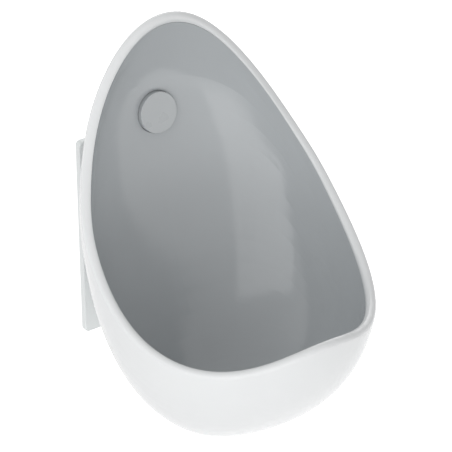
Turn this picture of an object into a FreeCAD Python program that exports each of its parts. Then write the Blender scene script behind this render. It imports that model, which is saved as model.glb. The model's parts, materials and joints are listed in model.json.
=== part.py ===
import FreeCAD, Part
import math
import os

# A child's wall hung urinal: a white egg-shaped shell with a grey liner, which hangs on a wall plate.
# Millimetres. The origin is the centre of the wall plate's back face, on the wall. +X is to the
# right, +Y points into the wall and +Z is up, so a depth (distance from the wall) is -Y.
# Heights are measured from the flat underside of the bowl.

# --- the egg that the shell is cut from -------------------------------------------------------
EGG_HALF_WIDTH = 116.5
EGG_FRONT_REACH = 128.0
EGG_BACK_REACH = 93.0
SHELL_OFF_WALL = 15.2         # between the wall and the fullest part of the shell's back
AXIS_LEAN = 0.201             # the egg's centre line leans back this much for each millimetre up
EGG_BOTTOM = -3.0             # lowest point of the whole egg; the underside is cut flat above it
WIDEST_HEIGHT = 158.5
BACK_WIDEST_HEIGHT = 227.0
EGG_TOP = 344.0
WIDTH_POWER_LOW = 2.58
WIDTH_POWER_HIGH = 1.66
FRONT_POWER = 1.76
BACK_POWER_LOW = 3.3
BACK_POWER_HIGH = 1.56

# --- the opening: a Bezier curve in the side view, with its four poles ------------------------
RIM_TOP_DEPTH = 36.5
RIM_TOP_HEIGHT = 329.0
RIM_UPPER_DEPTH = 41.0
RIM_UPPER_HEIGHT = 171.5
RIM_LOWER_DEPTH = 191.5
RIM_LOWER_HEIGHT = 52.0
RIM_FRONT_DEPTH = 250.5
RIM_FRONT_HEIGHT = 113.0

# --- walls ------------------------------------------------------------------------------------
SHELL_WALL = 3.0
LINER_WALL = 2.5
RIM_THICKNESS = 8.0
RIM_INNER_FACE = 2.0          # flat band inside the rounded rim, above the liner's edge
SEAM = 0.35                   # groove between the rim and the liner's edge

# --- wall plate -------------------------------------------------------------------------------
PLATE_WIDTH = 120.0
PLATE_HEIGHT = 178.0
PLATE_THICKNESS = 5.5
PLATE_SKIN = 2.5
PLATE_CORNER = 4.0
PLATE_EDGE_CHAMFER = 0.6
PLATE_RIB = 3.0
PLATE_COLUMNS = 4
PLATE_ROWS = 6
HOLE_SPACING_X = 96.0
HOLE_SPACING_Z = 110.0
HOLE_RADIUS = 2.25
COUNTERSINK_RADIUS = 4.5
HOLE_BOSS_RADIUS = 6.5

# --- hooks on the plate and tongues on the bracket ----------------------------------------------
HOOK_INNER_X = 16.0
HOOK_OUTER_X = 40.0
HOOK_SHELF_BELOW_TOP = 20.0   # top of the hook's shelf, below the plate's top edge
HOOK_SHELF = 4.0
HOOK_LIP = 2.5
HOOK_LIP_RISE = 8.0
HOOK_CHAMFER = 1.0
TONGUE_CLEARANCE = 0.5
TONGUE_SIDE_GAP = 1.0
TONGUE_BRIDGE = 4.5
TONGUE_HEADROOM = 1.5
LIFT_TRAVEL = 10.0

# --- hanger bracket -----------------------------------------------------------------------------
BRACKET_WIDTH = 84.0
BRACKET_HEIGHT = 166.0
BRACKET_ABOVE_BUTTON = 6.7    # the bracket's top edge, above the middle of the button
BRACKET_WEB = 3.0
WEB_BEHIND_SHELL = 0.9        # the web's back lies this far behind the shell's fullest part
BRACKET_WALL = 3.0
BRACKET_HOOK_GAP = 0.3        # between the hooks' lips and the web
BRACKET_COLUMN_RIB = 14.0     # x of the two upright ribs
BRACKET_ROWS = 4
SHELL_FIT = 0.2               # clearance between the shell and what is screwed to it
FOOT_INNER_X = 24.0
FOOT_WIDTH = 16.0
FOOT_HEIGHT = 16.0
PAD_THICKNESS = 3.3
PAD_RECESS = 1.0
PAD_MARGIN = 2.0
PAD_GAP = 0.2

# --- hanger screws ------------------------------------------------------------------------------
SCREW_X = 27.0
SCREW_BELOW_BUTTON = 5.3      # the upper screws, below the middle of the button
SCREW_SPACING = 77.0
SCREW_RADIUS = 1.75
SCREW_LENGTH = 8.0
SCREW_HEAD_RADIUS = 3.2
SCREW_HEAD = 1.8
SCREW_CLEARANCE = 0.2
SCREW_SEAT = 0.4
PILOT_CLEARANCE = 0.05
SCREW_BOSS_RADIUS = 4.5

# --- release button -----------------------------------------------------------------------------
BUTTON_BELOW_WIDEST = 11.7    # the button's middle, below the fullest part of the egg's back
BUTTON_ABOVE_PLATE = 17.3     # and above the wall plate's top edge
BUTTON_RADIUS = 17.0
BUTTON_RAISE = 5.3
BUTTON_TRAVEL = 2.5
BUTTON_EDGE = 0.7
BUTTON_GAP = 0.4
BUTTON_HEAD = 7.0
BUTTON_SKIN = 2.4
END_CLEARANCE = 0.2
CUP_WALL = 1.8
CUP_FLOOR = 1.6
CUP_CLEARANCE = 0.6
SHAFT_RADIUS = 4.0
SHAFT_CLEARANCE = 0.05
SHAFT_ROOT_RADIUS = 5.0
GUIDE_RADIUS = 8.0
GUIDE_LENGTH = 3.6
SEAL_WIDTH = 1.6
SEAL_CHAMFER = 0.4
CLIP_THICKNESS = 0.8
CLIP_RADIUS = 6.5
CLIP_GROOVE = 0.9
CLIP_GAP_ANGLE = 60.0
WEB_HOLE_CLEARANCE = 2.0

# --- catch lever --------------------------------------------------------------------------------
PIVOT_BEHIND_WEB = 4.3
HUB_ABOVE_PLATE = 0.5
PIN_RADIUS = 1.5
PIN_CLEARANCE = 0.05
PIN_HOLD = 0.02
HUB_RADIUS = 3.5
LEVER_WIDTH = 16.0
LEVER_THICKNESS = 2.5
LEVER_BACK_OFFSET = 1.5       # the lever's back face, behind its pivot
LEVER_UP = 16.5
LEVER_DOWN = 23.5
LEVER_STRAIGHT = 15.2         # below this the lever's front tapers, so that it clears the web
LEVER_TAPER = 1.9
NOSE_HEIGHT = 6.0
NOSE_ENGAGEMENT = 2.2
NOSE_RAMP = 1.8
NOSE_RAMP_RISE = 2.8
EAR_GAP = 1.0
EAR_THICKNESS = 3.0
EAR_RADIUS = 3.8
PIN_CHAMFER = 0.4
PUSH_GAP = 0.05
WINDOW_SIDE_GAP = 1.0
WINDOW_END_GAP = 0.8
WINDOW_FRAME = 3.0

# --- catch spring -------------------------------------------------------------------------------
SPRING_BELOW_PIVOT = 13.0
SPRING_RADIUS = 3.0
SPRING_WIRE = 0.3
SPRING_TURNS = 3.5
SPRING_STEPS = 12             # straight lengths in each turn of the coil
SPRING_SIDES = 6
SPRING_GAP = 0.05
SPRING_POCKET = 2.0
SPRING_POCKET_RADIUS = 4.2
SPRING_PIP_RADIUS = 1.8
SPRING_PIP = 1.2

# --- how finely the egg is sampled, and how far cutting shapes overshoot --------------------------
STATIONS_ROUND = 48
STATIONS_UP = 16
STATION_SPREAD = 1.6          # above 1 the stations crowd towards the floor
RIM_STEPS = 8
POLE_MARGIN = 0.1             # no station is nearer than this to the egg's two ends
CURVE_SPAN = 1.2              # the share of the rim's curve that is searched; past 1 it runs on
OVERSHOOT = 1.0

# --- places that follow from the sizes above ------------------------------------------------------
BUTTON_HEIGHT = BACK_WIDEST_HEIGHT - BUTTON_BELOW_WIDEST
PLATE_TOP = BUTTON_HEIGHT - BUTTON_ABOVE_PLATE
PLATE_LOW_EDGE = PLATE_TOP - PLATE_HEIGHT
PLATE_CENTRE = PLATE_LOW_EDGE + PLATE_HEIGHT / 2
BRACKET_HIGH = BUTTON_HEIGHT + BRACKET_ABOVE_BUTTON
BRACKET_LOW = BRACKET_HIGH - BRACKET_HEIGHT
SCREW_HIGH = BUTTON_HEIGHT - SCREW_BELOW_BUTTON
SCREW_LOW = SCREW_HIGH - SCREW_SPACING
AXIS_DEPTH = SHELL_OFF_WALL + EGG_BACK_REACH + AXIS_LEAN * (BACK_WIDEST_HEIGHT - WIDEST_HEIGHT)
LINER_INSET = RIM_THICKNESS - LINER_WALL
WEB_BACK = SHELL_OFF_WALL - WEB_BEHIND_SHELL
WEB_FRONT = WEB_BACK + BRACKET_WEB
SHELF_TOP = PLATE_TOP - HOOK_SHELF_BELOW_TOP
LIP_FRONT = WEB_BACK - BRACKET_HOOK_GAP
LIP_DEPTH = LIP_FRONT - HOOK_LIP
LIP_TOP = SHELF_TOP + HOOK_LIP_RISE
PIVOT_DEPTH = WEB_BACK - PIVOT_BEHIND_WEB
PIVOT_HEIGHT = PLATE_TOP + HUB_RADIUS + HUB_ABOVE_PLATE
LEVER_BACK = PIVOT_DEPTH - LEVER_BACK_OFFSET
LEVER_FRONT = LEVER_BACK + LEVER_THICKNESS
NOSE_LOW = PIVOT_HEIGHT - LEVER_DOWN
CUP_FLOOR_FACE = -(BUTTON_RAISE + RIM_THICKNESS) + BUTTON_HEAD + BUTTON_TRAVEL + END_CLEARANCE
CUP_RADIUS = BUTTON_RADIUS + BUTTON_GAP + CUP_WALL
GUIDE_END = CUP_FLOOR_FACE + CUP_FLOOR + GUIDE_LENGTH
TOUCH = 0.01                  # closer than this, two places count as one
UP = FreeCAD.Vector(0, 0, 1)
ALONG_X = FreeCAD.Vector(1, 0, 0)
INTO_WALL = FreeCAD.Vector(0, 1, 0)


def at(x, depth, height):
    """A point from its x, its distance from the wall and its height above the bowl's underside."""
    return FreeCAD.Vector(x, -depth, height - PLATE_CENTRE)


def block(x_low, x_high, depth_low, depth_high, low, high):
    """A box between two values of x, depth and height."""
    corner = at(x_low, depth_high, low)
    return Part.makeBox(x_high - x_low, depth_high - depth_low, high - low, corner)


def slab(outline, x_low, x_high):
    """An outline of (depth, height) points, drawn out along X."""
    points = [at(x_low, depth, height) for depth, height in outline]
    face = Part.Face(Part.makePolygon(points + points[:1]))
    return face.extrude(ALONG_X * (x_high - x_low))


def mirrored(shape):
    """The shape's twin on the other side of the middle plane."""
    return shape.mirror(FreeCAD.Vector(0, 0, 0), ALONG_X)


def both_sides(shape):
    return [shape, mirrored(shape)]


# --- the egg ------------------------------------------------------------------------------------
def swell(height, widest, power_low, power_high):
    """How full the egg is at a height: 1 where it is widest and 0 at both ends."""
    if height < widest:
        share = (widest - height) / (widest - EGG_BOTTOM)
        return (1 - share ** power_low) ** (1 / power_low)
    share = (height - widest) / (EGG_TOP - widest)
    return (1 - share ** power_high) ** (1 / power_high)


def egg_point(angle, height):
    """A point on the egg; the angle is 0 at the front and pi at the back."""
    half_width = EGG_HALF_WIDTH * swell(height, WIDEST_HEIGHT, WIDTH_POWER_LOW, WIDTH_POWER_HIGH)
    front = EGG_FRONT_REACH * swell(height, WIDEST_HEIGHT, FRONT_POWER, WIDTH_POWER_HIGH)
    back = EGG_BACK_REACH * swell(height, BACK_WIDEST_HEIGHT, BACK_POWER_LOW, BACK_POWER_HIGH)
    centre = AXIS_DEPTH - AXIS_LEAN * (height - WIDEST_HEIGHT)
    ahead = math.cos(angle)
    reach = (front + back) / 2 + (front - back) / 2 * ahead
    return at(half_width * math.sin(angle), centre + reach * ahead, height)


def egg_directions(angle, height):
    """The egg's outward normal and its upward tangent at a point."""
    step = 0.01
    round_it = egg_point(angle + step, height) - egg_point(angle - step, height)
    up_it = egg_point(angle, height + step) - egg_point(angle, height - step)
    outward = round_it.cross(up_it)
    return outward.normalize(), up_it.normalize()


def wall_point(angle, height, inset):
    """A point at a distance inside the egg's surface."""
    outward, _ = egg_directions(angle, height)
    return egg_point(angle, height) - outward * inset


def crossing(below, low, high):
    """The value between low and high where the test stops being true."""
    for _ in range(50):
        middle = (low + high) / 2
        if below(middle):
            low = middle
        else:
            high = middle
    return (low + high) / 2


def level_height(angle, inset, level):
    """The height on the egg whose inset point lies at a given level."""
    target = at(0, 0, level).z
    return crossing(lambda height: wall_point(angle, height, inset).z < target,
                    EGG_BOTTOM + POLE_MARGIN, EGG_TOP - POLE_MARGIN)


# --- the opening --------------------------------------------------------------------------------
def rim_profile(share):
    """Depth and height along the rim's side view, from the top to past the front lip."""
    rest = 1 - share
    weights = (rest ** 3, 3 * share * rest ** 2, 3 * share ** 2 * rest, share ** 3)
    depths = (RIM_TOP_DEPTH, RIM_UPPER_DEPTH, RIM_LOWER_DEPTH, RIM_FRONT_DEPTH)
    heights = (RIM_TOP_HEIGHT, RIM_UPPER_HEIGHT, RIM_LOWER_HEIGHT, RIM_FRONT_HEIGHT)
    depth = sum(weight * pole for weight, pole in zip(weights, depths))
    height = sum(weight * pole for weight, pole in zip(weights, heights))
    return depth, height


def rim_height(angle):
    """Where a line up the egg meets the opening."""
    def ahead_of_rim(share):
        depth, height = rim_profile(share)
        return -egg_point(angle, height).y > depth
    _, height = rim_profile(crossing(ahead_of_rim, 0.0, CURVE_SPAN))
    return height


def rim_base_height(angle):
    """Where the rounded rim starts, half its thickness below the opening."""
    top = rim_height(angle)
    _, upward = egg_directions(angle, top)
    return top - upward.z * RIM_THICKNESS / 2


def station_angles():
    """Stations round the egg, starting and ending at the middle of the back."""
    return [math.pi + 2 * math.pi * i / STATIONS_ROUND for i in range(STATIONS_ROUND)]


class Rim:
    """The frame of the rounded rim at each station."""
    def __init__(self):
        self.angles = station_angles()
        self.heights = [rim_base_height(angle) for angle in self.angles]

    def row(self, inward, upward):
        """A ring of points, a distance inside the egg and above the start of the rounding."""
        ring = []
        for angle, height in zip(self.angles, self.heights):
            normal, tangent = egg_directions(angle, height)
            ring.append(egg_point(angle, height) - normal * inward + tangent * upward)
        return ring

    def rounded_rows(self):
        """Half circles from the shell's outer side over to its inner side."""
        radius = RIM_THICKNESS / 2
        rows = []
        for i in range(RIM_STEPS + 1):
            turn = math.pi * i / RIM_STEPS
            rows.append(self.row(radius - radius * math.cos(turn), radius * math.sin(turn)))
        return rows


# --- surfaces -----------------------------------------------------------------------------------
def ring_curve(row):
    """A smooth closed curve through a ring of points."""
    curve = Part.BSplineCurve()
    curve.interpolate(Points=row, PeriodicFlag=True, Parameters=list(range(len(row) + 1)))
    return curve


def ring_surface(rows):
    """A smooth surface through closed rings of points, which ends on the rings' own curves."""
    rings = [ring_curve(row) for row in rows]
    columns = []
    for poles in zip(*[ring.getPoles() for ring in rings]):
        column = Part.BSplineCurve()
        column.interpolate(Points=list(poles), Parameters=list(range(len(poles))))
        columns.append(column)
    surface = Part.BSplineSurface()
    surface.buildFromPolesMultsKnots(
        [list(poles) for poles in zip(*[column.getPoles() for column in columns])],
        columns[0].getMultiplicities(), rings[0].getMultiplicities(),
        columns[0].getKnots(), rings[0].getKnots(),
        False, True, columns[0].Degree, rings[0].Degree)
    return surface


def smooth_faces(rows):
    """Smooth faces through closed rings of points, parted at the rings."""
    whole = ring_surface(rows)
    low, high, start, end = whole.bounds()
    faces = []
    for i in range(len(rows) - 1):
        band = whole.copy()
        band.segment(low + i, low + i + 1, start, end)
        faces.append(band.toShape())
    return faces


def ruled_faces(rows):
    """Bands that are straight from ring to ring, for the walls that nobody sees."""
    edges = [ring_curve(row).toShape() for row in rows]
    return [Part.makeRuledSurface(low, high) for low, high in zip(edges, edges[1:])]


def disc(row):
    """The flat face inside a ring of points."""
    return Part.Face(Part.Wire([ring_curve(row).toShape()]))


def solid_of(faces):
    """The solid inside a closed set of faces."""
    shell = Part.makeShell(faces)
    shell.sewShape(TOUCH / 10)
    solid = Part.makeSolid(shell)
    if solid.Volume < 0:
        solid.reverse()
    return solid


def egg_rows(inset, floor, tops):
    """Rings of points at an inset, from a level floor up to a height on the egg at each station."""
    angles = station_angles()
    starts = [level_height(angle, inset, floor) for angle in angles]
    rows = []
    for i in range(STATIONS_UP + 1):
        share = (i / STATIONS_UP) ** STATION_SPREAD
        rows.append([wall_point(angle, start + (top - start) * share, inset)
                     for angle, start, top in zip(angles, starts, tops)])
    return rows


def egg_block(inset, low, high):
    """A closed solid of the egg between two levels."""
    tops = [level_height(angle, inset, high) for angle in station_angles()]
    rows = egg_rows(inset, low, tops)
    return solid_of([ring_surface(rows).toShape(), disc(rows[0]), disc(rows[-1])])


# --- the button's axis --------------------------------------------------------------------------
def button_point(distance):
    """A point on the button's axis, a distance behind the shell's outer surface."""
    outward, _ = egg_directions(math.pi, BUTTON_HEIGHT)
    return egg_point(math.pi, BUTTON_HEIGHT) + outward * distance


def button_direction():
    """The direction in which the button is pressed, towards the wall."""
    outward, _ = egg_directions(math.pi, BUTTON_HEIGHT)
    return outward


def on_button_axis(radius, start, end):
    """A round bar on the button's axis."""
    return Part.makeCylinder(radius, end - start, button_point(start), button_direction())


# --- screws between the shell and the bracket ---------------------------------------------------
def egg_angle(x, height):
    """The angle at the back of the egg where it has a given x."""
    half_width = EGG_HALF_WIDTH * swell(height, WIDEST_HEIGHT, WIDTH_POWER_LOW, WIDTH_POWER_HIGH)
    return math.pi - math.asin(x / half_width)


def screw_heights():
    return SCREW_HIGH, SCREW_LOW


def screw_bar(height, radius, start, end):
    """A round bar square to the shell at a screw, between two distances behind its surface."""
    x = SCREW_X
    angle = egg_angle(x, height)
    outward, _ = egg_directions(angle, height)
    return Part.makeCylinder(radius, end - start, egg_point(angle, height) + outward * start, outward)


def boss_reach(height):
    """How far behind the shell the bracket's web lies at a screw."""
    angle = egg_angle(SCREW_X, height)
    outward, _ = egg_directions(angle, height)
    return (-egg_point(angle, height).y - WEB_FRONT + BRACKET_WEB / 2) / outward.y


# --- the pieces ---------------------------------------------------------------------------------
def outer_shell(rim):
    """The white shell: a thin wall whose edge is thickened into a rounded rim."""
    below_rim = [height - RIM_INNER_FACE for height in rim.heights]
    outside = egg_rows(0, 0, rim.heights)
    inside = egg_rows(SHELL_WALL, SHELL_WALL, below_rim)
    rounding = rim.rounded_rows()
    seam = rim.row(RIM_THICKNESS, -RIM_INNER_FACE)
    ends = ruled_faces([rounding[-1], seam, inside[-1]]) + [disc(outside[0]), disc(inside[0])]
    shell = solid_of(smooth_faces(outside) + smooth_faces(rounding) + ruled_faces(inside) + ends)
    cup_hole = on_button_axis(CUP_RADIUS + CUP_CLEARANCE, -3 * RIM_THICKNESS, RIM_THICKNESS)
    shell = shell.cut(cup_hole)
    for height in screw_heights():
        hole = screw_bar(height, SCREW_RADIUS + SCREW_CLEARANCE, -RIM_THICKNESS, RIM_THICKNESS)
        shell = shell.cut(both_sides(hole))
    return shell


def bowl_liner(rim):
    """The grey liner, with a cup and a guide for the button moulded into its back."""
    tops = [height - RIM_INNER_FACE - SEAM for height in rim.heights]
    outside = egg_rows(LINER_INSET, LINER_INSET, tops)
    inside = egg_rows(RIM_THICKNESS, RIM_THICKNESS, tops)
    ends = ruled_faces([outside[-1], inside[-1]]) + [disc(outside[0]), disc(inside[0])]
    liner = solid_of(ruled_faces(outside) + smooth_faces(inside) + ends)
    cup = on_button_axis(CUP_RADIUS, -LINER_INSET - LINER_WALL, CUP_FLOOR_FACE + CUP_FLOOR)
    guide = on_button_axis(GUIDE_RADIUS, CUP_FLOOR_FACE, GUIDE_END)
    recess = on_button_axis(BUTTON_RADIUS + BUTTON_GAP, -3 * RIM_THICKNESS, CUP_FLOOR_FACE)
    bore = on_button_axis(SHAFT_RADIUS + SHAFT_CLEARANCE, CUP_FLOOR_FACE - OVERSHOOT,
                          GUIDE_END + OVERSHOOT)
    seal_seat = on_button_axis(SHAFT_RADIUS + SHAFT_CLEARANCE + SEAL_WIDTH,
                               CUP_FLOOR_FACE - OVERSHOOT, CUP_FLOOR_FACE + SEAL_WIDTH)
    return liner.fuse(cup).fuse(guide).cut([recess, bore, seal_seat]).removeSplitter()


def button_seal():
    """The ring that keeps the button's shaft watertight."""
    inner = SHAFT_RADIUS + SHAFT_CLEARANCE
    end = CUP_FLOOR_FACE + SEAL_WIDTH
    ring = on_button_axis(inner + SEAL_WIDTH, CUP_FLOOR_FACE, end)
    front_edge = [edge for edge in ring.Edges
                  if edge.Closed and (edge.CenterOfMass - button_point(CUP_FLOOR_FACE)).Length < TOUCH]
    ring = ring.makeChamfer(SEAL_CHAMFER, front_edge)
    return ring.cut(on_button_axis(inner, CUP_FLOOR_FACE - OVERSHOOT, end + OVERSHOOT))


def release_button():
    """The round button, hollow behind, with its shaft and the groove for its clip."""
    front = -(BUTTON_RAISE + RIM_THICKNESS)
    head = on_button_axis(BUTTON_RADIUS, front, front + BUTTON_HEAD)
    front_edge = [edge for edge in head.Edges
                  if edge.Closed and (edge.CenterOfMass - button_point(front)).Length < TOUCH]
    head = head.makeFillet(BUTTON_EDGE, front_edge)
    hollow = on_button_axis(BUTTON_RADIUS - BUTTON_SKIN, front + BUTTON_SKIN, front + BUTTON_HEAD)
    hollow = hollow.cut(on_button_axis(SHAFT_ROOT_RADIUS, front, front + BUTTON_HEAD))
    tip = tip_distance()
    shaft = on_button_axis(SHAFT_RADIUS, front + BUTTON_SKIN, tip)
    end = Part.makeSphere(SHAFT_RADIUS, button_point(tip))
    groove_start = GUIDE_END + SHAFT_CLEARANCE
    groove = on_button_axis(SHAFT_ROOT_RADIUS, groove_start, groove_start + CLIP_GROOVE)
    core = on_button_axis(SHAFT_RADIUS - CLIP_GROOVE, groove_start - OVERSHOOT, tip)
    groove = groove.cut(core)
    return head.cut(hollow).fuse(shaft).fuse(end).cut(groove).removeSplitter()


def tip_distance():
    """Where the centre of the shaft's round end lies, so that it just clears the lever."""
    slope = button_direction().y
    return (-button_point(0).y - LEVER_FRONT - SHAFT_RADIUS - PUSH_GAP) / slope


def button_clip():
    """The open ring in the shaft's groove that stops the button from falling out."""
    start = GUIDE_END + SHAFT_CLEARANCE + (CLIP_GROOVE - CLIP_THICKNESS) / 2
    ring = on_button_axis(CLIP_RADIUS, start, start + CLIP_THICKNESS)
    inner = SHAFT_RADIUS - CLIP_GROOVE + SHAFT_CLEARANCE
    ring = ring.cut(on_button_axis(inner, start - OVERSHOOT, start + CLIP_THICKNESS + OVERSHOOT))
    half_gap = CLIP_RADIUS * math.tan(math.radians(CLIP_GAP_ANGLE / 2))
    mouth = [FreeCAD.Vector(0, 0, 0), FreeCAD.Vector(half_gap, -CLIP_RADIUS, 0),
             FreeCAD.Vector(-half_gap, -CLIP_RADIUS, 0)]
    mouth = Part.Face(Part.makePolygon(mouth + mouth[:1])).extrude(UP * CLIP_RADIUS)
    mouth.Placement = FreeCAD.Placement(button_point(start - CLIP_RADIUS / 2),
                                        FreeCAD.Rotation(ALONG_X, UP, button_direction(), "ZXY"))
    return ring.cut(mouth)


def hook_outline():
    """A hook of the wall plate in side view: a shelf with an upright lip."""
    return [
        (PLATE_THICKNESS - OVERSHOOT, SHELF_TOP - HOOK_SHELF),
        (LIP_FRONT - HOOK_CHAMFER, SHELF_TOP - HOOK_SHELF),
        (LIP_FRONT, SHELF_TOP - HOOK_SHELF + HOOK_CHAMFER),
        (LIP_FRONT, LIP_TOP),
        (LIP_DEPTH + HOOK_CHAMFER, LIP_TOP),
        (LIP_DEPTH, LIP_TOP - HOOK_CHAMFER),
        (LIP_DEPTH, SHELF_TOP),
        (PLATE_THICKNESS - OVERSHOOT, SHELF_TOP),
    ]


def plate_pockets():
    """The cells cored out of the plate's back, between its ribs."""
    width = (PLATE_WIDTH - 2 * PLATE_SKIN - (PLATE_COLUMNS - 1) * PLATE_RIB) / PLATE_COLUMNS
    height = (PLATE_HEIGHT - 2 * PLATE_SKIN - (PLATE_ROWS - 1) * PLATE_RIB) / PLATE_ROWS
    cells = []
    for column in range(PLATE_COLUMNS):
        for row in range(PLATE_ROWS):
            x = -PLATE_WIDTH / 2 + PLATE_SKIN + column * (width + PLATE_RIB)
            low = PLATE_LOW_EDGE + PLATE_SKIN + row * (height + PLATE_RIB)
            cells.append(block(x, x + width, -OVERSHOOT, PLATE_THICKNESS - PLATE_SKIN,
                               low, low + height))
    return cells


def screw_hole_places():
    return [(x, PLATE_CENTRE + z) for x in (-HOLE_SPACING_X / 2, HOLE_SPACING_X / 2)
            for z in (-HOLE_SPACING_Z / 2, HOLE_SPACING_Z / 2)]


def wall_plate():
    """The flat plate on the wall, with two hooks, a window for the catch and four screw holes."""
    plate = block(-PLATE_WIDTH / 2, PLATE_WIDTH / 2, 0, PLATE_THICKNESS, PLATE_LOW_EDGE, PLATE_TOP)
    corners = [edge for edge in plate.Edges if edge.BoundBox.YLength > PLATE_THICKNESS / 2]
    plate = plate.makeFillet(PLATE_CORNER, corners)
    front = at(0, PLATE_THICKNESS, 0).y
    edges = [edge for edge in plate.Edges if abs(edge.BoundBox.YMax - front) < TOUCH]
    plate = plate.makeChamfer(PLATE_EDGE_CHAMFER, edges)
    side = LEVER_WIDTH / 2 + WINDOW_SIDE_GAP
    window_low = NOSE_LOW - WINDOW_END_GAP
    window_high = NOSE_LOW + NOSE_HEIGHT + LIFT_TRAVEL + WINDOW_END_GAP
    frame = block(-side - WINDOW_FRAME, side + WINDOW_FRAME, 0, PLATE_THICKNESS,
                  window_low - WINDOW_FRAME, PLATE_TOP - PLATE_EDGE_CHAMFER)
    bosses = [Part.makeCylinder(HOLE_BOSS_RADIUS, PLATE_THICKNESS, at(x, 0, height), -INTO_WALL)
              for x, height in screw_hole_places()]
    plate = plate.cut(plate_pockets()).fuse([frame] + bosses)
    hook = slab(hook_outline(), HOOK_INNER_X, HOOK_OUTER_X)
    plate = plate.fuse(both_sides(hook))
    window = block(-side, side, -OVERSHOOT, PLATE_THICKNESS + OVERSHOOT, window_low, window_high)
    plate = plate.cut(window)
    sink = COUNTERSINK_RADIUS - HOLE_RADIUS
    for x, height in screw_hole_places():
        hole = Part.makeCylinder(HOLE_RADIUS, PLATE_THICKNESS + 2 * OVERSHOOT,
                                 at(x, -OVERSHOOT, height), -INTO_WALL)
        cone = Part.makeCone(HOLE_RADIUS, COUNTERSINK_RADIUS, sink,
                             at(x, PLATE_THICKNESS - sink, height), -INTO_WALL)
        plate = plate.cut([hole, cone])
    return plate.removeSplitter()


def bracket_cells():
    """The cells between the bracket's ribs, open towards the shell."""
    half = BRACKET_WIDTH / 2
    columns = (
        (-half + BRACKET_WALL, -BRACKET_COLUMN_RIB - BRACKET_WALL / 2),
        (-BRACKET_COLUMN_RIB + BRACKET_WALL / 2, BRACKET_COLUMN_RIB - BRACKET_WALL / 2),
        (BRACKET_COLUMN_RIB + BRACKET_WALL / 2, half - BRACKET_WALL),
    )
    cell = (BRACKET_HIGH - BRACKET_LOW - (BRACKET_ROWS + 1) * BRACKET_WALL) / BRACKET_ROWS
    lows = [BRACKET_LOW + BRACKET_WALL + row * (cell + BRACKET_WALL) for row in range(BRACKET_ROWS)]
    return [block(left, right, WEB_FRONT, AXIS_DEPTH, low, low + cell)
            for left, right in columns for low in lows]


def tongue_outline():
    """A tongue of the bracket in side view: it drops into the groove behind a hook's lip."""
    back = PLATE_THICKNESS + TONGUE_CLEARANCE
    front = LIP_DEPTH - TONGUE_CLEARANCE
    bridge = LIP_TOP + TONGUE_HEADROOM
    return [
        (back + HOOK_CHAMFER, SHELF_TOP),
        (front - HOOK_CHAMFER, SHELF_TOP),
        (front, SHELF_TOP + HOOK_CHAMFER),
        (front, bridge),
        (WEB_BACK + OVERSHOOT, bridge),
        (WEB_BACK + OVERSHOOT, bridge + TONGUE_BRIDGE),
        (back, bridge + TONGUE_BRIDGE),
        (back, SHELF_TOP + HOOK_CHAMFER),
    ]


def bracket_foot():
    """A foot at the bracket's low end, with a recess for its pad."""
    foot = block(FOOT_INNER_X, FOOT_INNER_X + FOOT_WIDTH, foot_depth(), WEB_BACK + OVERSHOOT,
                 BRACKET_LOW, BRACKET_LOW + FOOT_HEIGHT)
    return foot.cut(pad_block(PAD_MARGIN, foot_depth() + PAD_RECESS))


def foot_depth():
    return PLATE_THICKNESS + PAD_GAP + PAD_THICKNESS - PAD_RECESS


def pad_block(margin, front):
    """A pad's outline, from the wall plate's face to a depth."""
    return block(FOOT_INNER_X + margin, FOOT_INNER_X + FOOT_WIDTH - margin,
                 PLATE_THICKNESS + PAD_GAP, front,
                 BRACKET_LOW + margin, BRACKET_LOW + FOOT_HEIGHT - margin)


def bracket_ear():
    """An ear that carries one end of the lever's pin."""
    inner = LEVER_WIDTH / 2 + EAR_GAP
    root = block(inner, inner + EAR_THICKNESS, PIVOT_DEPTH, WEB_BACK + OVERSHOOT,
                 PIVOT_HEIGHT - EAR_RADIUS, PIVOT_HEIGHT + EAR_RADIUS)
    end = Part.makeCylinder(EAR_RADIUS, EAR_THICKNESS, at(inner, PIVOT_DEPTH, PIVOT_HEIGHT), ALONG_X)
    ear = root.fuse(end)
    hole = Part.makeCylinder(PIN_RADIUS + PIN_HOLD, EAR_THICKNESS + 2 * OVERSHOOT,
                             at(inner - OVERSHOOT, PIVOT_DEPTH, PIVOT_HEIGHT), ALONG_X)
    return ear.cut(hole)


def hanger_bracket():
    """The ribbed moulding behind the shell, which hangs the bowl on the plate's hooks."""
    half = BRACKET_WIDTH / 2
    body = block(-half, half, WEB_BACK, AXIS_DEPTH, BRACKET_LOW, BRACKET_HIGH)
    body = body.cut(bracket_cells())
    for height in screw_heights():
        boss = screw_bar(height, SCREW_BOSS_RADIUS, -OVERSHOOT, boss_reach(height))
        body = body.fuse(both_sides(boss))
    margin = 2 * BRACKET_WALL
    body = body.cut(egg_block(-SHELL_FIT, BRACKET_LOW - margin, BRACKET_HIGH + margin))
    body = body.cut(on_button_axis(CUP_RADIUS + CUP_CLEARANCE, -3 * RIM_THICKNESS,
                                   CUP_FLOOR_FACE + CUP_FLOOR + SHELL_FIT))
    body = body.cut(on_button_axis(GUIDE_RADIUS + WEB_HOLE_CLEARANCE, CUP_FLOOR_FACE,
                                   2 * RIM_THICKNESS))
    for height in screw_heights():
        pilot = screw_bar(height, SCREW_RADIUS + PILOT_CLEARANCE, -OVERSHOOT,
                          SCREW_LENGTH - SHELL_WALL)
        body = body.cut(both_sides(pilot))
    tongue = slab(tongue_outline(), HOOK_INNER_X + TONGUE_SIDE_GAP, HOOK_OUTER_X - TONGUE_SIDE_GAP)
    for piece in (tongue, bracket_foot(), bracket_ear()):
        body = body.fuse(both_sides(piece))
    pocket = Part.makeCylinder(SPRING_POCKET_RADIUS, SPRING_POCKET + OVERSHOOT,
                               at(0, WEB_BACK - OVERSHOOT, spring_height()), -INTO_WALL)
    return body.cut(pocket).removeSplitter()


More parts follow.
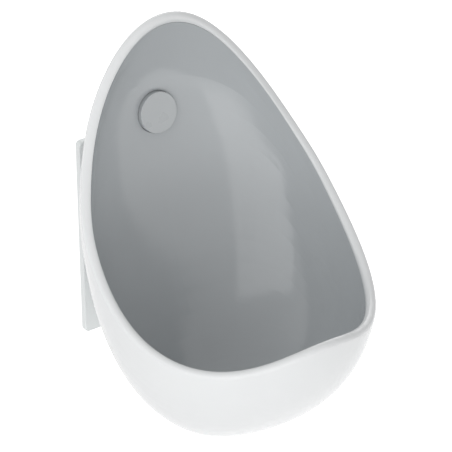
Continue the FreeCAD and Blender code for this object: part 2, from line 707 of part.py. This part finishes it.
def hanger_screws():
    """Four screws through the shell into the bracket, their heads behind the liner."""
    under_head = -(SHELL_WALL + SCREW_SEAT)
    screws = []
    for height in screw_heights():
        head = screw_bar(height, SCREW_HEAD_RADIUS, under_head - SCREW_HEAD, under_head)
        shank = screw_bar(height, SCREW_RADIUS, under_head - SCREW_HEAD / 2,
                          under_head + SCREW_LENGTH)
        screws += both_sides(head.fuse(shank))
    return Part.makeCompound(screws)


def rest_pads():
    """Two rubber pads that rest against the wall plate at the bracket's low end."""
    pad = pad_block(PAD_MARGIN + PAD_GAP, foot_depth() + PAD_RECESS)
    return Part.makeCompound(both_sides(pad))


def lever_outline():
    """The catch lever in side view: a straight arm whose nose enters the plate's window."""
    nose_tip = PLATE_THICKNESS - NOSE_ENGAGEMENT
    top = PIVOT_HEIGHT + LEVER_UP
    return [
        (LEVER_FRONT - LEVER_TAPER, NOSE_LOW),
        (LEVER_FRONT, PIVOT_HEIGHT - LEVER_STRAIGHT),
        (LEVER_FRONT, top),
        (LEVER_BACK, top),
        (LEVER_BACK, NOSE_LOW + NOSE_HEIGHT),
        (nose_tip, NOSE_LOW + NOSE_HEIGHT),
        (nose_tip, NOSE_LOW + NOSE_RAMP_RISE),
        (nose_tip + NOSE_RAMP, NOSE_LOW),
    ]


def spring_height():
    return PIVOT_HEIGHT - SPRING_BELOW_PIVOT


def catch_lever():
    """The rocking lever that the button pushes, with a pip that centres the spring."""
    arm = slab(lever_outline(), -LEVER_WIDTH / 2, LEVER_WIDTH / 2)
    hub = Part.makeCylinder(HUB_RADIUS, LEVER_WIDTH, at(-LEVER_WIDTH / 2, PIVOT_DEPTH, PIVOT_HEIGHT),
                            ALONG_X)
    pip = Part.makeCylinder(SPRING_PIP_RADIUS, SPRING_PIP + OVERSHOOT,
                            at(0, LEVER_FRONT - OVERSHOOT, spring_height()), -INTO_WALL)
    bore = Part.makeCylinder(PIN_RADIUS + PIN_CLEARANCE, LEVER_WIDTH + 2 * OVERSHOOT,
                             at(-LEVER_WIDTH / 2 - OVERSHOOT, PIVOT_DEPTH, PIVOT_HEIGHT), ALONG_X)
    return arm.fuse([hub, pip]).cut(bore).removeSplitter()


def pivot_pin():
    """The steel pin that the lever rocks on."""
    length = LEVER_WIDTH + 2 * (EAR_GAP + EAR_THICKNESS)
    pin = Part.makeCylinder(PIN_RADIUS, length, at(-length / 2, PIVOT_DEPTH, PIVOT_HEIGHT), ALONG_X)
    ends = [edge for edge in pin.Edges if edge.Closed]
    return pin.makeChamfer(PIN_CHAMFER, ends)


def catch_spring():
    """The small coil between the lever and the bracket, in short straight lengths of wire."""
    start = LEVER_FRONT + SPRING_WIRE + SPRING_GAP
    length = WEB_BACK + SPRING_POCKET - SPRING_WIRE - SPRING_GAP - start
    steps = round(SPRING_TURNS * SPRING_STEPS)
    rings = []
    for i in range(steps + 1):
        turn = 2 * math.pi * i / SPRING_STEPS
        out = FreeCAD.Vector(math.cos(turn), 0, math.sin(turn))
        middle = at(0, start + length * i / steps, spring_height()) + out * SPRING_RADIUS
        corners = []
        for side in range(SPRING_SIDES):
            tilt = 2 * math.pi * side / SPRING_SIDES
            corners.append(middle + (out * math.cos(tilt) + INTO_WALL * math.sin(tilt)) * SPRING_WIRE)
        rings.append(Part.makePolygon(corners + corners[:1]))
    return Part.makeLoft(rings, True, True)


def build():
    rim = Rim()
    pieces = {
        "outer_shell": outer_shell(rim),
        "bowl_liner": bowl_liner(rim),
        "button_seal": button_seal(),
        "release_button": release_button(),
        "button_clip": button_clip(),
        "wall_plate": wall_plate(),
        "hanger_bracket": hanger_bracket(),
        "hanger_screws": hanger_screws(),
        "rest_pads": rest_pads(),
        "catch_lever": catch_lever(),
        "pivot_pin": pivot_pin(),
        "catch_spring": catch_spring(),
    }
    os.makedirs("parts", exist_ok=True)
    for name, shape in pieces.items():
        shape.exportStep("parts/" + name + ".step")
        print(name, len(shape.Solids), "solids", round(shape.Volume), "mm3", shape.isValid())


build()
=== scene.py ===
import json
import math

import bmesh
import bpy
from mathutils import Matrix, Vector


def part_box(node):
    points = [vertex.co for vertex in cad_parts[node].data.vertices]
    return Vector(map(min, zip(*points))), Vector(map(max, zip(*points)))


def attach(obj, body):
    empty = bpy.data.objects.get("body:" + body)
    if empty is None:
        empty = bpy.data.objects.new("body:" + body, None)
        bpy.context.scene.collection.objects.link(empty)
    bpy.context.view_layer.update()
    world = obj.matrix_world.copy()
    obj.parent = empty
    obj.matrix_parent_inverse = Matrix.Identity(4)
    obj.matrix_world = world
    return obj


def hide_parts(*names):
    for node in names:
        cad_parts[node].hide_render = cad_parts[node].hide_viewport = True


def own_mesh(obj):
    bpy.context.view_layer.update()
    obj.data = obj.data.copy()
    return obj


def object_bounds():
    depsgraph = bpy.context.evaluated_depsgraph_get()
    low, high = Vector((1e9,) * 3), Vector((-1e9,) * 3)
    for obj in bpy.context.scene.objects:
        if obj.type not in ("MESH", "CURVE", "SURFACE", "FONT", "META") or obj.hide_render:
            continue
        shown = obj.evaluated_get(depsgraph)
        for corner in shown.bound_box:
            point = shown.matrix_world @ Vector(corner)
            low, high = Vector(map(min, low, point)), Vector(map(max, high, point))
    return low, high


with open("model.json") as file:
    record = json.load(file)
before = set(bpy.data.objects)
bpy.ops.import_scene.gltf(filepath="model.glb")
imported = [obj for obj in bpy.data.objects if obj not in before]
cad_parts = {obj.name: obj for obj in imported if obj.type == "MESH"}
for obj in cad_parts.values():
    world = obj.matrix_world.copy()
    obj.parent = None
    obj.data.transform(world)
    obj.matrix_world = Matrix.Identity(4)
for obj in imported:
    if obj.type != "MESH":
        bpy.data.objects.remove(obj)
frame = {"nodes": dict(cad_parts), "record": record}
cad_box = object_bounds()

# Lengths are in metres and angles in degrees. An azimuth of 0 is straight in front of the bowl
# and 90 is on its +X side.

# The photograph's view, fitted to the outlines of the rim, the shell and the wall plate.
VIEW_AZIMUTH = -35.5
VIEW_ELEVATION = 30.0
VIEW_DISTANCE = 1.791
VIEW_TARGET = Vector((0.0, -0.12185, 0.048))
LENS = 183.2                  # focal length and sensor width, in millimetres
SENSOR = 36.0

# The surroundings.
BODY_MIDDLE = Vector((0.0, -0.12, 0.05))
WORLD_STRENGTH = 0.49
FLOOR_SIZE = 8.0
FLOOR_BELOW = 0.42            # how far the floor lies below the bowl
FLOOR_COLOUR = (0.85, 0.85, 0.85, 1.0)
FLOOR_ROUGHNESS = 0.8
FLOOR_GLOW = 0.6              # added to the lit floor where it is seen, which makes it white
WHITE = (1.0, 1.0, 1.0, 1.0)

# Textures. A scale says how fine a noise is, and a spread by what share it changes a value.
NOISE_LOW, NOISE_HIGH = 0.35, 0.65    # the middle range of a noise, stretched over the whole change
FLOW_SCALE = 7.0              # mottle in a moulding's colour
SHEEN_SCALE = 26.0            # changes in its gloss
SHEEN_SPREAD = 0.12
WAVE_SCALE = 9.0              # its slight waviness
WAVE_STRENGTH = 0.5
GRAIN_SCALE = 900.0
GRAIN_STRENGTH = 0.25
STREAK_SCALE = (60.0, 900.0, 900.0)
STREAK_SPREAD = 0.3
STREAK_STRENGTH = 0.2
STREAK_DEPTH = 0.00003
PLASTIC_IOR = 1.5

# The catch spring.
COIL_WIRE = 0.0003            # radius of its wire
COIL_RADIUS = 0.0033          # to the middle of the wire: clear of the lever's tilting pip
COIL_TURNS = 4
COIL_STEPS = 32               # straight lengths in each turn
WIRE_SIDES = 10
COIL_AXIS = (0.0, 1.0, 0.0)


# --- materials ----------------------------------------------------------------------------------
def new_material(name):
    material = bpy.data.materials.new(name)
    material.use_nodes = True
    return material, material.node_tree.nodes, material.node_tree.links


def noise(nodes, links, place, scale, detail):
    texture = nodes.new("ShaderNodeTexNoise")
    texture.inputs["Scale"].default_value = scale
    texture.inputs["Detail"].default_value = detail
    links.new(place, texture.inputs["Vector"])
    return texture.outputs["Fac"]


def spread(nodes, links, source, low, high):
    """Maps a noise's middle range to the values between low and high."""
    remap = nodes.new("ShaderNodeMapRange")
    remap.inputs["From Min"].default_value = NOISE_LOW
    remap.inputs["From Max"].default_value = NOISE_HIGH
    remap.inputs["To Min"].default_value = low
    remap.inputs["To Max"].default_value = high
    links.new(source, remap.inputs["Value"])
    return remap.outputs["Result"]


def relief(nodes, links, height, strength, depth):
    """A bump node whose Normal carries the relief of a texture."""
    bump = nodes.new("ShaderNodeBump")
    bump.inputs["Strength"].default_value = strength
    bump.inputs["Distance"].default_value = depth
    links.new(height, bump.inputs["Height"])
    return bump


def plastic(name, colour, roughness, mottle=0.012, grain=GRAIN_SCALE, grain_depth=0.00002,
            wave_depth=0.0002):
    """Moulded plastic: a faint mottle, fine grain, and slight changes in its gloss and flatness."""
    material, nodes, links = new_material(name)
    shader = nodes["Principled BSDF"]
    shader.inputs["IOR"].default_value = PLASTIC_IOR
    place = nodes.new("ShaderNodeTexCoord").outputs["Object"]

    mix = nodes.new("ShaderNodeMix")
    mix.data_type = "RGBA"
    mix.inputs["A"].default_value = tuple(c * (1 - mottle) for c in colour) + (1.0,)
    mix.inputs["B"].default_value = tuple(c * (1 + mottle) for c in colour) + (1.0,)
    flow = noise(nodes, links, place, FLOW_SCALE, detail=3.0)
    links.new(spread(nodes, links, flow, 0.0, 1.0), mix.inputs["Factor"])
    links.new(mix.outputs["Result"], shader.inputs["Base Color"])

    sheen = noise(nodes, links, place, SHEEN_SCALE, detail=4.0)
    gloss = spread(nodes, links, sheen, roughness * (1 - SHEEN_SPREAD), roughness * (1 + SHEEN_SPREAD))
    links.new(gloss, shader.inputs["Roughness"])

    grains = noise(nodes, links, place, grain, detail=2.0)
    waves = noise(nodes, links, place, WAVE_SCALE, detail=1.0)
    fine = relief(nodes, links, grains, GRAIN_STRENGTH, grain_depth)
    wave = relief(nodes, links, waves, WAVE_STRENGTH, wave_depth)
    links.new(fine.outputs["Normal"], wave.inputs["Normal"])
    links.new(wave.outputs["Normal"], shader.inputs["Normal"])
    return material


def rubber(name, colour):
    return plastic(name, colour, roughness=0.7, mottle=0.08, grain=1500.0, grain_depth=0.0001)


def steel(name, colour, roughness):
    """Drawn steel with fine streaks along X."""
    material, nodes, links = new_material(name)
    shader = nodes["Principled BSDF"]
    shader.inputs["Metallic"].default_value = 1.0
    shader.inputs["Base Color"].default_value = colour + (1.0,)
    place = nodes.new("ShaderNodeTexCoord").outputs["Object"]
    stretch = nodes.new("ShaderNodeMapping")
    stretch.inputs["Scale"].default_value = STREAK_SCALE
    links.new(place, stretch.inputs["Vector"])
    streaks = noise(nodes, links, stretch.outputs["Vector"], scale=1.0, detail=3.0)
    gloss = spread(nodes, links, streaks,
                   roughness * (1 - STREAK_SPREAD), roughness * (1 + STREAK_SPREAD))
    links.new(gloss, shader.inputs["Roughness"])
    grooves = relief(nodes, links, streaks, STREAK_STRENGTH, STREAK_DEPTH)
    links.new(grooves.outputs["Normal"], shader.inputs["Normal"])
    return material


def make_materials():
    """A material for each slot of the record."""
    return {
        "shell": plastic("white_gloss", (0.76, 0.772, 0.778), roughness=0.22, mottle=0.006),
        "liner": plastic("grey_gloss", (0.46, 0.482, 0.496), roughness=0.13, mottle=0.01,
                         wave_depth=0.00006),
        "button": plastic("button_grey", (0.50, 0.52, 0.53), roughness=0.3, mottle=0.012),
        "wall_plate": plastic("plate_white", (0.76, 0.785, 0.785), roughness=0.32, mottle=0.01),
        "bracket": plastic("bracket_white", (0.72, 0.73, 0.73), roughness=0.5, mottle=0.015),
        "lever": plastic("lever_grey", (0.42, 0.44, 0.45), roughness=0.45, mottle=0.015),
        "steel": steel("drawn_steel", (0.58, 0.58, 0.60), roughness=0.28),
        "rubber": rubber("black_rubber", (0.035, 0.035, 0.038)),
    }


def dress(materials):
    """Gives every CAD node the material of its slot."""
    slots = {part["node"]: part["material_slot"] for part in frame["record"]["subparts"]}
    for name, node in frame["nodes"].items():
        node.data.materials.clear()
        node.data.materials.append(materials[slots[name]])


def add_object(name, data):
    piece = bpy.data.objects.new(name, data)
    bpy.context.scene.collection.objects.link(piece)
    return piece


# --- the catch spring, wound as a real coil -----------------------------------------------------
def coil_line(low, high):
    """Points along the middle of the wire: the coil's two end turns lie almost flat."""
    start, end = high.y - COIL_WIRE, low.y + COIL_WIRE
    middle_x, middle_z = (low.x + high.x) / 2, (low.z + high.z) / 2
    count = COIL_TURNS * COIL_STEPS
    points = []
    for i in range(count + 1):
        share = i / count
        eased = share * share * (3 - 2 * share)
        turn = math.tau * i / COIL_STEPS
        points.append(Vector((middle_x + COIL_RADIUS * math.cos(turn), start + (end - start) * eased,
                              middle_z + COIL_RADIUS * math.sin(turn))))
    return points


def wire_ring(mesh, middle, ahead):
    """A ring of points round the wire, square to the way it runs."""
    side = ahead.cross(Vector(COIL_AXIS)).normalized()
    over = side.cross(ahead)
    turns = [math.tau * k / WIRE_SIDES for k in range(WIRE_SIDES)]
    return [mesh.verts.new(middle + COIL_WIRE * (side * math.cos(turn) + over * math.sin(turn)))
            for turn in turns]


def wire_along(name, line):
    """A round wire along a line of points, closed at both ends."""
    mesh = bmesh.new()
    rings = []
    for i, point in enumerate(line):
        ahead = (line[min(i + 1, len(line) - 1)] - line[max(i - 1, 0)]).normalized()
        rings.append(wire_ring(mesh, point, ahead))
    for ring, following in zip(rings, rings[1:]):
        for k in range(WIRE_SIDES):
            after = (k + 1) % WIRE_SIDES
            mesh.faces.new((ring[k], ring[after], following[after], following[k]))
    mesh.faces.new(rings[0])
    mesh.faces.new(rings[-1])
    bmesh.ops.recalc_face_normals(mesh, faces=mesh.faces)
    data = bpy.data.meshes.new(name)
    mesh.to_mesh(data)
    mesh.free()
    data.polygons.foreach_set("use_smooth", [True] * len(data.polygons))
    return add_object(name, data)


def make_spring(material):
    """Stands for the CAD spring: a coil wound in the CAD spring's box and carried with the bowl."""
    low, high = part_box("catch_spring")
    spring = wire_along("spring_coil", coil_line(low, high))
    spring.data.materials.append(material)
    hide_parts("catch_spring")
    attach(spring, "bowl")
    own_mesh(spring)


# --- surroundings -------------------------------------------------------------------------------
def seen_directly(nodes, links):
    """1 for what the camera, a mirror or a glass sees, and 0 for light on the object."""
    path = nodes.new("ShaderNodeLightPath")
    seen = path.outputs["Is Camera Ray"]
    for ray in ("Is Glossy Ray", "Is Transmission Ray"):
        either = nodes.new("ShaderNodeMath")
        either.operation = "MAXIMUM"
        links.new(seen, either.inputs[0])
        links.new(path.outputs[ray], either.inputs[1])
        seen = either.outputs["Value"]
    return seen


def two_strengths(nodes, links, lighting, seen):
    """One strength for light on the object and another for what is seen directly."""
    remap = nodes.new("ShaderNodeMapRange")
    remap.inputs["To Min"].default_value = lighting
    remap.inputs["To Max"].default_value = seen
    links.new(seen_directly(nodes, links), remap.inputs["Value"])
    return remap.outputs["Result"]


def make_world():
    """Even light from all round, white where it is seen."""
    world = bpy.data.worlds.new("studio")
    bpy.context.scene.world = world
    world.use_nodes = True
    nodes, links = world.node_tree.nodes, world.node_tree.links
    background = nodes["Background"]
    background.inputs["Color"].default_value = WHITE
    links.new(two_strengths(nodes, links, WORLD_STRENGTH, 1.0), background.inputs["Strength"])


def make_floor(low):
    """A pale floor, white to the camera, that keeps the shadow."""
    bpy.ops.mesh.primitive_plane_add(size=FLOOR_SIZE, location=(0.0, 0.0, low - FLOOR_BELOW))
    floor = bpy.context.object
    floor.name = "floor"
    material, nodes, links = new_material("floor_white")
    shader = nodes["Principled BSDF"]
    shader.inputs["Base Color"].default_value = FLOOR_COLOUR
    shader.inputs["Roughness"].default_value = FLOOR_ROUGHNESS
    shader.inputs["Emission Color"].default_value = WHITE
    links.new(two_strengths(nodes, links, 0.0, FLOOR_GLOW), shader.inputs["Emission Strength"])
    floor.data.materials.append(material)


def direction(azimuth, elevation):
    """The way from the bowl to a place round it."""
    turn, tilt = math.radians(azimuth), math.radians(elevation)
    return Vector((math.sin(turn) * math.cos(tilt), -math.cos(turn) * math.cos(tilt), math.sin(tilt)))


def softbox(name, azimuth, elevation, distance, size, watts, mirrored=True):
    """A lamp round the bowl, pointed at its middle, with or without a reflection in it."""
    lamp = bpy.data.lights.new(name, "AREA")
    lamp.shape = "RECTANGLE"
    lamp.size, lamp.size_y = size
    lamp.energy = watts
    box = add_object(name, lamp)
    box.location = BODY_MIDDLE + distance * direction(azimuth, elevation)
    box.rotation_euler = (BODY_MIDDLE - box.location).to_track_quat("-Z", "Y").to_euler()
    box.visible_glossy = mirrored


def make_lights():
    softbox("front_box", azimuth=-36.0, elevation=3.0, distance=1.6, size=(1.75, 1.35), watts=9.1)
    softbox("low_box", azimuth=0.0, elevation=-36.0, distance=1.3, size=(1.9, 1.0), watts=12.0,
            mirrored=False)
    softbox("left_box", azimuth=-95.0, elevation=40.0, distance=1.5, size=(1.2, 0.9), watts=7.3,
            mirrored=False)
    softbox("back_box", azimuth=140.0, elevation=25.0, distance=1.8, size=(1.5, 1.2), watts=6.0)


def make_camera():
    """The photograph's camera."""
    data = bpy.data.cameras.new("camera")
    data.sensor_width = SENSOR
    data.lens = LENS
    towards = direction(VIEW_AZIMUTH, VIEW_ELEVATION)
    camera = add_object("camera", data)
    camera.location = VIEW_TARGET + towards * VIEW_DISTANCE
    camera.rotation_euler = (-towards).to_track_quat("-Z", "Y").to_euler()
    bpy.context.scene.camera = camera


materials = make_materials()
dress(materials)
make_spring(materials["steel"])
make_world()
make_floor(min(corner[2] for corner in cad_box))
make_lights()
make_camera()
bpy.context.scene.view_settings.view_transform = "Standard"
